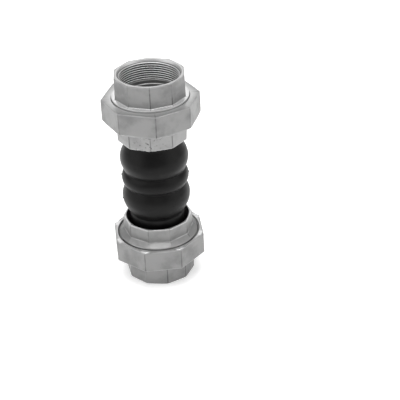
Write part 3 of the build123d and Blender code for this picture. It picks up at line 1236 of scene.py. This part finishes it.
@dataclass
class RubberBody:
    """Cover, cord plies and liner of the flexible body, with its beads and hoops."""

    length: float
    neck: float = 27.2
    neck_end: float = 74.5
    crest: float = 33.6
    groove: float = 29.2
    groove_depth: float = 101.5
    strap: float = 33.2
    cover: float = 2.0
    ply: float = 0.8
    plies: int = 3
    liner: float = 2.0
    bead: float = 35.0
    bead_end: float = 46.1
    seat: float = 34.3
    filler: float = 36.3
    collar_lip: float = 64.7
    shoulder: float = 6.0
    ripple: float = 0.22
    seam: float = 0.12
    heel: float = 29.2
    heel_start: float = 42.2
    bead_sides: int = 12

    def __post_init__(self) -> None:
        """Work out the bulges."""
        top = self.length - self.groove_depth
        self.lower_swell = Swell(self.neck_end, self.groove_depth, self.neck, self.groove, self.crest)
        self.upper_swell = Swell(
            top, self.length - self.neck_end, self.groove, self.neck, self.crest
        )
        self.strap_swell = Swell(self.groove_depth, top, self.groove, self.groove, self.strap)

    @property
    def crest_depth(self) -> float:
        """Depth of each sphere's widest place."""
        return (self.neck_end + self.groove_depth) / 2

    def cover_radius(self, height: float) -> float:
        """Outer radius of the rubber at a height."""
        return soft_max(self._spheres(height), self.strap_swell.radius(height), 0.5)

    def carcass_radius(self, height: float) -> float:
        """Outer radius of the cord plies at a height."""
        return self._spheres(height) - self.cover

    def _spheres(self, height: float) -> float:
        """Outer radius of the two spheres and the necks beside them."""
        radius = soft_max(self.neck, self.lower_swell.radius(height), self.shoulder)
        return soft_max(radius, self.upper_swell.radius(height), self.shoulder)

    def stretches(self) -> list[Stretch]:
        """The five stretches of the body, from the lower end up."""
        crest, groove, lip, full = self.crest_depth, self.groove_depth, self.collar_lip, self.length
        top_crest, top_groove, top = full - crest, full - groove, full - self.bead_end
        return [
            Stretch("lower_neck", self.bead_end, crest, "lower_end", "lower_arch", lip, crest),
            Stretch("lower_arch", crest, groove, "lower_arch", "waist", crest, groove),
            Stretch("waist", groove, top_groove, "waist", "waist", groove, top_groove),
            Stretch("upper_arch", top_groove, top_crest, "waist", "upper_arch", top_groove, top_crest),
            Stretch("upper_neck", top_crest, top, "upper_arch", "upper_end", top_crest, full - lip),
        ]

    def columns(self, count: int) -> list[float]:
        """Angles round the axis, with extra ones beside the two mould seams."""
        even = [2 * math.pi * k / count for k in range(count)]
        if count < 200:
            return even
        beside = [side + step * 0.006 for side in (0.0, math.pi) for step in (-3, -2, -1, 1, 2, 3)]
        return sorted({round(angle % (2 * math.pi), 6) for angle in even + beside})

    def skin_wander(self, angle: float, radius: float, height: float) -> float:
        """How far the moulded skin stands out: slow ripples, and a thin seam on two sides."""
        place = Vector((radius * math.cos(angle), radius * math.sin(angle), height))
        slow = noise.noise(place * 0.045) * self.ripple
        squeezed = Vector((place.x * 0.05, place.y * 0.05, place.z * 0.22))
        drawn = noise.noise(squeezed + Vector((9.0, 4.0, 1.0)))
        arc = math.asin(max(-1.0, min(1.0, math.sin(angle)))) * radius
        seam = self.seam * math.exp(-((arc / 0.45) ** 2))
        return slow + 0.5 * self.ripple * drawn + seam

    def shell(
        self,
        name: str,
        low: float,
        high: float,
        inset: tuple[float, float],
        columns: int,
        row: float,
        skin: bool = False,
    ) -> bpy.types.Object:
        """A closed ring of rubber between two heights.

        Args:
            name: Name of the piece.
            low: Height of its lower end.
            high: Height of its upper end.
            inset: How far its outer and inner faces lie inside the carcass surface. A skin's outer
                face follows the cover instead.
            columns: Points round the axis.
            row: Distance between rows.
            skin: True for the outer skin, which has ripples and seams.

        Returns:
            The piece.
        """
        angles = self.columns(columns)
        rows = max(int(math.ceil((high - low) / row)), 2)
        heights = [low + (high - low) * k / rows for k in range(rows + 1)]
        outline = []
        for height in heights:
            outer = self.cover_radius(height) if skin else self.carcass_radius(height) - inset[0]
            outline.append((outer, height, 1.0 if skin else 0.0))
        for height in reversed(heights):
            outline.append((self.carcass_radius(height) - inset[1], height, 0.0))
        points, uv_of_point = [], []
        for radius, height, wander in outline:
            for angle in angles:
                out = radius + (self.skin_wander(angle, radius, height) if wander else 0.0)
                points.append(on_axis(out, angle, height))
                uv_of_point.append((angle / (2 * math.pi), height / self.length))
        mesh = bpy.data.meshes.new(name)
        mesh.from_pydata(points, [], ring_faces(len(outline), len(angles)))
        outward_normals(mesh)
        mesh.polygons.foreach_set("use_smooth", [True] * len(mesh.polygons))
        self._mark_ends(mesh, low, high)
        self._unwrap(mesh, uv_of_point)
        return new_object(name, mesh)

    def _mark_ends(self, mesh: bpy.types.Mesh, low: float, high: float) -> None:
        """Keep the edges of a ring's two end faces sharp, so that its sides shade smoothly."""
        ends = (low * MM, high * MM)
        for edge in mesh.edges:
            heights = [mesh.vertices[v].co.z for v in edge.vertices]
            at_end = any(all(abs(height - end) < 1e-7 for height in heights) for end in ends)
            edge.use_edge_sharp = at_end

    def _unwrap(self, mesh: bpy.types.Mesh, uv_of_point: list[tuple[float, float]]) -> None:
        """Lay the ring out flat: round the axis across, and along it up."""
        layer = mesh.uv_layers.new(name="layer")
        for polygon in mesh.polygons:
            across = [uv_of_point[mesh.loops[loop].vertex_index][0] for loop in polygon.loop_indices]
            wraps = max(across) - min(across) > 0.5
            for loop, u in zip(polygon.loop_indices, across):
                v = uv_of_point[mesh.loops[loop].vertex_index][1]
                layer.data[loop].uv = (u + 1.0 if wraps and u < 0.5 else u, v)

    def place(self, piece: bpy.types.Object, stretch: Stretch) -> None:
        """Set a piece on its stretch's body when both ends share one; otherwise only bake its placement into
        its mesh.
        """
        if stretch.body_low == stretch.body_high:
            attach(piece, stretch.body_low)
            return
        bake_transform(piece)

    def build_cover(self, finishes: Finishes) -> None:
        """Make the outer skin, one ring for each stretch."""
        nodes = {
            "lower_neck": ("lower_cuff", "lower_arch_cover"),
            "lower_arch": ("lower_arch_cover",),
            "waist": ("waist_strap",),
            "upper_arch": ("upper_arch_cover",),
            "upper_neck": ("upper_cuff", "upper_arch_cover"),
        }
        for stretch in self.stretches():
            piece = self.shell(
                f"{stretch.name}_skin",
                stretch.low,
                stretch.high,
                (0.0, LAYER_GAP),
                MESH_COLUMNS,
                0.7,
                skin=True,
            )
            finishes.dress(piece, "cover_rubber")
            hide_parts(*nodes[stretch.name])
            self.place(piece, stretch)
            LOG.info("%s: %d points", piece.name, len(piece.data.vertices))

    def build_layers(self, finishes: Finishes) -> None:
        """Make the cord plies and the liner, one ring for each layer and stretch."""
        depth = 0.0
        layers = [(f"cord_ply_{k + 1}", self.ply, "nylon_cord") for k in range(self.plies)]
        layers.append(("inner_liner", self.liner, "liner_rubber"))
        for node, thickness, slot in layers:
            for stretch in self.stretches():
                low, high = self._layer_span(stretch, self.filler)
                piece = self.shell(
                    f"{node}_{stretch.name}", low, high, (depth + LAYER_GAP, depth + thickness), 96, 1.6
                )
                finishes.dress(piece, slot)
                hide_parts(node)
                self.place(piece, stretch)
            depth += thickness
            LOG.info("%s: five stretches", node)

    def _layer_span(self, stretch: Stretch, end_depth: float) -> tuple[float, float]:
        """Heights of a layer's ring, which runs on into the bead at the joint's ends."""
        low = end_depth if stretch.body_low == "lower_end" else stretch.low
        high = self.length - end_depth if stretch.body_high == "upper_end" else stretch.high
        return low, high

    def build_beads(self, finishes: Finishes, hoops: HoopTool) -> None:
        """Make each bead's seal face, filler and wire hoop, and the hoop at the waist."""
        bore = self.neck - self.cover - self.plies * self.ply - self.liner
        for end in End:
            body = end.name("end")
            face = [
                Station(self.seat, turned=bore, fillet=0.5),
                Station(self.seat, turned=self.bead, fillet=0.5),
                Station(self.filler - LAYER_GAP, turned=self.bead, fillet=0.3),
                Station(self.filler - LAYER_GAP, turned=bore, fillet=0.3),
            ]
            self._bead_ring(end, "seal_face", face, "inner_liner", finishes)
            inner = self.neck - self.cover + LAYER_GAP
            filler = [
                Station(self.filler, turned=inner, fillet=0.2),
                Station(self.filler, turned=self.bead, fillet=0.4),
                Station(self.heel_start, turned=self.bead, fillet=1.0),
                Station(self.bead_end, turned=self.heel, fillet=0.8),
                Station(self.bead_end, turned=inner, fillet=0.2),
            ]
            self._bead_ring(end, "bead_filler_ring", filler, end.name("bead_filler"), finishes)
            self._hoop(end.name("bead_hoop"), end.name("bead_ring"), body, finishes, hoops)
        self._hoop("root_hoop", "root_ring", "waist", finishes, hoops)

    def _bead_ring(
        self, end: End, name: str, stations: list[Station], node: str, finishes: Finishes
    ) -> None:
        """Make one round rubber ring of a bead and set it on the end's body."""
        casting = Casting(end.name(name), stations, self.bead_sides, 0.0, unevenness=0.05)
        piece = casting.build(end, self.length)
        finishes.dress(piece, "liner_rubber")
        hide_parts(node)
        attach(piece, end.name("end"))

    def _hoop(self, name: str, node: str, body: str, finishes: Finishes, hoops: HoopTool) -> None:
        """Make one stranded hoop inside the box of the ring that it stands for."""
        low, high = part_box(node)
        wire = (high.z - low.z) / 2
        piece = hoops.apply(
            name,
            {
                "Ring": high.x - wire,
                "Bundle": wire * 0.62,
                "Strand": wire * 0.36,
                "Strands": 6,
                "Winds": 14,
                "Height": (low.z + high.z) / 2,
            },
            finishes.by_slot["hoop_steel"],
        )
        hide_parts(node)
        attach(piece, body)
        LOG.info("%s: six strands", name)

    def build_pips(self, finishes: Finishes, pips: PipTool) -> None:
        """Make the moulding pips that stand on the spheres and the strap."""
        full = self.length
        rows = [
            ("lower_arch_pips", "lower_arch", "lower_arch_cover", self.crest_depth, (0.9, 3.3, 5.2)),
            ("waist_pips", "waist", "waist_strap", full / 2 + 1.0, (-0.03, 3.1)),
            ("upper_arch_pips", "upper_arch", "upper_arch_cover", full - self.crest_depth, (0.5, 2.4, 4.1)),
        ]
        for name, body, node, height, angles in rows:
            points = []
            for angle in angles:
                radius = self.cover_radius(height) + self.skin_wander(angle, self.crest, height)
                points.append(on_axis(radius, angle, height))
            base = bpy.data.meshes.new(name + "_points")
            base.from_pydata(points, [], [])
            piece = pips.apply(name, {"Seed": len(name)}, finishes.by_slot["cover_rubber"], base)
            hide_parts(node)
            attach(piece, body)
            LOG.info("%s: %d pips", name, len(angles))


# ---------------------------------------------------------------------------------------------
# Studio
# ---------------------------------------------------------------------------------------------


@dataclass(frozen=True)
class SoftLight:
    """A square soft light that points at the joint."""

    name: str
    place: tuple[float, float, float]
    side: float
    power: float

    def build(self, target: Vector) -> None:
        """Hang the light."""
        lamp = bpy.data.lights.new(self.name, "AREA")
        lamp.shape = "SQUARE"
        lamp.size = self.side
        lamp.energy = self.power
        holder = bpy.data.objects.new(self.name, lamp)
        holder.location = self.place
        holder.rotation_euler = (target - Vector(self.place)).to_track_quat("-Z", "Y").to_euler()
        bpy.context.scene.collection.objects.link(holder)


@dataclass(frozen=True)
class Studio:
    """Camera, pale floor and soft lights.

    Attributes:
        back: How far the camera stands back from the joint's axis, in metres.
        height: Its height in metres.
        swing: How far it looks to the joint's left, in degrees.
        dip: How far it looks down, in degrees.
        tilt: How far it leans over, in degrees.
        lens: Its focal length, in millimetres on a 36 mm wide sensor.
    """

    back: float = 0.9258
    height: float = 0.6433
    swing: float = 2.68
    dip: float = 31.45
    tilt: float = 2.19
    lens: float = 97.0

    def build_camera(self) -> None:
        """Set the camera."""
        swing, dip, tilt = (math.radians(angle) for angle in (self.swing, self.dip, self.tilt))
        ahead = Vector((math.sin(swing), math.cos(swing), 0.0))
        right = Vector((math.cos(swing), -math.sin(swing), 0.0))
        forward = ahead * math.cos(dip) - Vector((0, 0, math.sin(dip)))
        up = ahead * math.sin(dip) + Vector((0, 0, math.cos(dip)))
        right, up = (
            right * math.cos(tilt) - up * math.sin(tilt),
            right * math.sin(tilt) + up * math.cos(tilt),
        )
        data = bpy.data.cameras.new("camera")
        data.lens = self.lens
        data.sensor_width = 36.0
        data.clip_start = 0.01
        camera = bpy.data.objects.new("camera", data)
        turn = Matrix((right, up, -forward)).transposed().to_4x4()
        camera.matrix_world = Matrix.Translation((0.0, -self.back, self.height)) @ turn
        bpy.context.scene.collection.objects.link(camera)
        bpy.context.scene.camera = camera

    def build_floor(self) -> None:
        """Lay the pale floor, which glows a little and is clear from underneath."""
        mesh = bpy.data.meshes.new("floor")
        corners = [(x * FLOOR_REACH, y * FLOOR_REACH, 0) for x, y in ((-1, -1), (1, -1), (1, 1), (-1, 1))]
        mesh.from_pydata(corners, [], [(0, 1, 2, 3)])
        material, nodes, shader = start_material("floor_paper")
        shader.inputs["Base Color"].default_value = (0.93, 0.93, 0.93, 1.0)
        shader.inputs["Roughness"].default_value = 0.9
        shader.inputs["Specular IOR Level"].default_value = 0.1
        shader.inputs["Emission Color"].default_value = (1.0, 1.0, 1.0, 1.0)
        shader.inputs["Emission Strength"].default_value = 0.3
        underside = nodes.add("ShaderNodeNewGeometry").outputs["Backfacing"]
        nodes.join(nodes.math("SUBTRACT", 1.0, underside), shader.inputs["Alpha"])
        mesh.materials.append(material)
        new_object("floor", mesh)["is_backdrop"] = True

    def build_lights(self, middle: Vector) -> None:
        """Light the joint from above and both sides, with a pale sky all round."""
        world = bpy.data.worlds.new("studio")
        world.use_nodes = True
        world.node_tree.nodes["Background"].inputs["Color"].default_value = (1.0, 1.0, 1.0, 1.0)
        world.node_tree.nodes["Background"].inputs["Strength"].default_value = 0.55
        bpy.context.scene.world = world
        bpy.context.scene.view_settings.view_transform = "Standard"
        for light in (
            SoftLight("key", (-1.2, -0.4, 0.9), 1.4, 6.8),
            SoftLight("fill", (1.2, -0.5, 0.7), 1.2, 4.4),
            SoftLight("back", (0.0, 1.6, 1.6), 2.2, 14.0),
            SoftLight("top", (0.0, -0.1, 1.7), 1.2, 17.0),
        ):
            light.build(middle)


# ---------------------------------------------------------------------------------------------
# The whole joint
# ---------------------------------------------------------------------------------------------


@dataclass
class ExpansionJoint:
    """The whole joint, with the turn of each casting in degrees."""

    turns: dict[str, float]
    lower_lip: float = 64.7

    def build(self, finishes: Finishes) -> None:
        """Make every sub-assembly, in order."""
        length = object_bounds()[1][2] / MM
        threads, hoops, pips = ThreadTool(), HoopTool(), PipTool()
        upper_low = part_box("upper_clamp_collar")[0].z / MM
        backed_off = length - upper_low - self.lower_lip
        for end in End:
            off = backed_off if end is End.UPPER else 0.0
            pitted = (math.radians(-98.0), 0.36) if end is End.UPPER else None
            Tailpiece(end, length, self._turn(end, "tailpiece")).build(finishes, threads)
            UnionNut(end, length, self._turn(end, "nut")).build(finishes, threads)
            ClampCollar(end, length, self._turn(end, "collar"), off, pitted).build(finishes, threads)
        rubber = RubberBody(length)
        rubber.build_cover(finishes)
        rubber.build_layers(finishes)
        rubber.build_beads(finishes, hoops)
        rubber.build_pips(finishes, pips)

    def _turn(self, end: End, piece: str) -> float:
        """Turn of one casting, in radians."""
        return math.radians(self.turns[end.name(piece)])


def main() -> None:
    """Build the joint and its studio."""
    logging.basicConfig(level=logging.INFO, format="%(name)s: %(message)s")
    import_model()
    studio = Studio()
    studio.build_camera()
    studio.build_floor()
    studio.build_lights(Vector((0.0, 0.0, 0.11)))
    joint = ExpansionJoint(
        turns={
            "lower_tailpiece": -8.0,
            "lower_nut": -19.0,
            "lower_collar": 0.4,
            "upper_tailpiece": 17.0,
            "upper_nut": 4.0,
            "upper_collar": 13.3,
        }
    )
    joint.build(Finishes())


if __name__ == "__main__":
    main()
